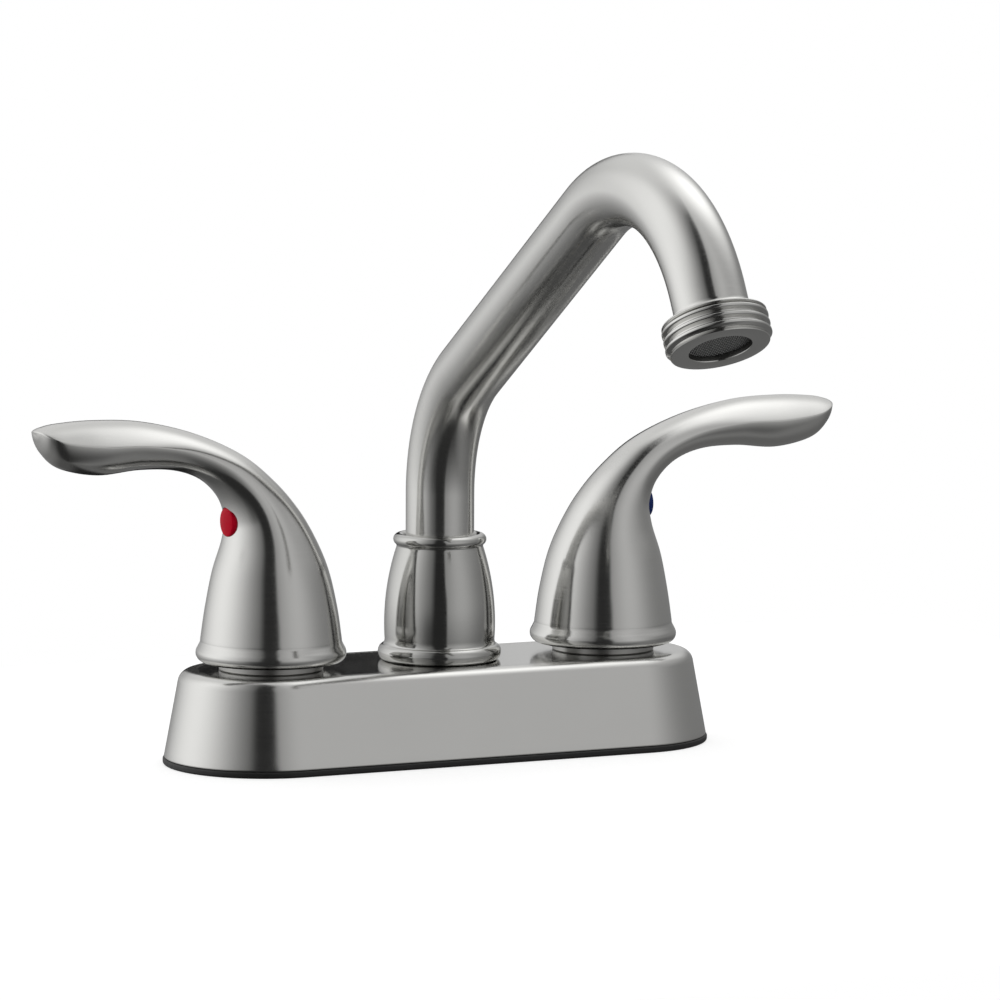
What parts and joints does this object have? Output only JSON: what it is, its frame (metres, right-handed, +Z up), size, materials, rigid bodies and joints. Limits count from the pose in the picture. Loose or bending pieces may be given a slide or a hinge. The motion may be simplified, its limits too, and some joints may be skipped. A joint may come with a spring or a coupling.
{
  "type": "laundry tub faucet",
  "caption": "Centreset laundry tub faucet with lever handles, quarter-turn valves, a swivelling bent tube spout and a male hose-thread outlet, in satin nickel.",
  "frame": {"origin": "middle of the base on the sink deck, at the underside of the gasket", "axes": "+Z up; the spout points towards -Y; the hot valve is at -X and the cold valve at +X, on the user's left and right"},
  "size_m": [0.2414, 0.2064, 0.2164],
  "materials": {
    "satin_nickel": "satin",
    "brass": "machined",
    "steel": "plain",
    "black_rubber": "matte",
    "black_plastic": "matte",
    "white_plastic": "matte",
    "white_ceramic": "lapped",
    "red_plastic": "gloss",
    "blue_plastic": "gloss"
  },
  "bodies": {
    "base": {"base_gasket": "black_rubber", "escutcheon": "satin_nickel", "waterway_body": "brass", "hot_shank": "brass", "cold_shank": "brass", "hot_mounting_nut": "black_plastic", "cold_mounting_nut": "black_plastic", "hot_collar_nut": "satin_nickel", "cold_collar_nut": "satin_nickel", "hot_bonnet_nut": "brass", "cold_bonnet_nut": "brass", "hot_cartridge": "brass", "cold_cartridge": "brass", "hot_cartridge_o_ring": "black_rubber", "cold_cartridge_o_ring": "black_rubber", "hot_seat_seal": "black_rubber", "cold_seat_seal": "black_rubber", "hot_fixed_disc": "white_ceramic", "cold_fixed_disc": "white_ceramic", "spout_hub": "satin_nickel", "spout_bushing": "white_plastic", "spout_washer": "white_plastic"},
    "hot_valve": {"hot_handle": "satin_nickel", "hot_index_button": "red_plastic", "hot_set_screw": "steel", "hot_stem": "brass", "hot_stem_o_ring": "black_rubber", "hot_moving_disc": "white_ceramic"},
    "cold_valve": {"cold_handle": "satin_nickel", "cold_index_button": "blue_plastic", "cold_set_screw": "steel", "cold_stem": "brass", "cold_stem_o_ring": "black_rubber", "cold_moving_disc": "white_ceramic"},
    "spout": {"spout_tube": "satin_nickel", "spout_stem": "brass", "spout_o_rings": "black_rubber", "outlet_adapter": "satin_nickel", "screen_washer": "black_rubber", "outlet_screen": "steel"}
  },
  "joints": [
    {"name": "hot_handle_turn", "type": "hinge", "parent": "base", "child": "hot_valve", "pos_m": [-0.0508, 0, 0], "axis": [0, 0, 1], "range_deg": [0, 90]},
    {"name": "cold_handle_turn", "type": "hinge", "parent": "base", "child": "cold_valve", "pos_m": [0.0508, 0, 0], "axis": [0, 0, -1], "range_deg": [0, 90]},
    {"name": "spout_swivel", "type": "hinge", "parent": "base", "child": "spout", "pos_m": [0, 0, 0], "axis": [0, 0, 1], "continuous": true}
  ]
}
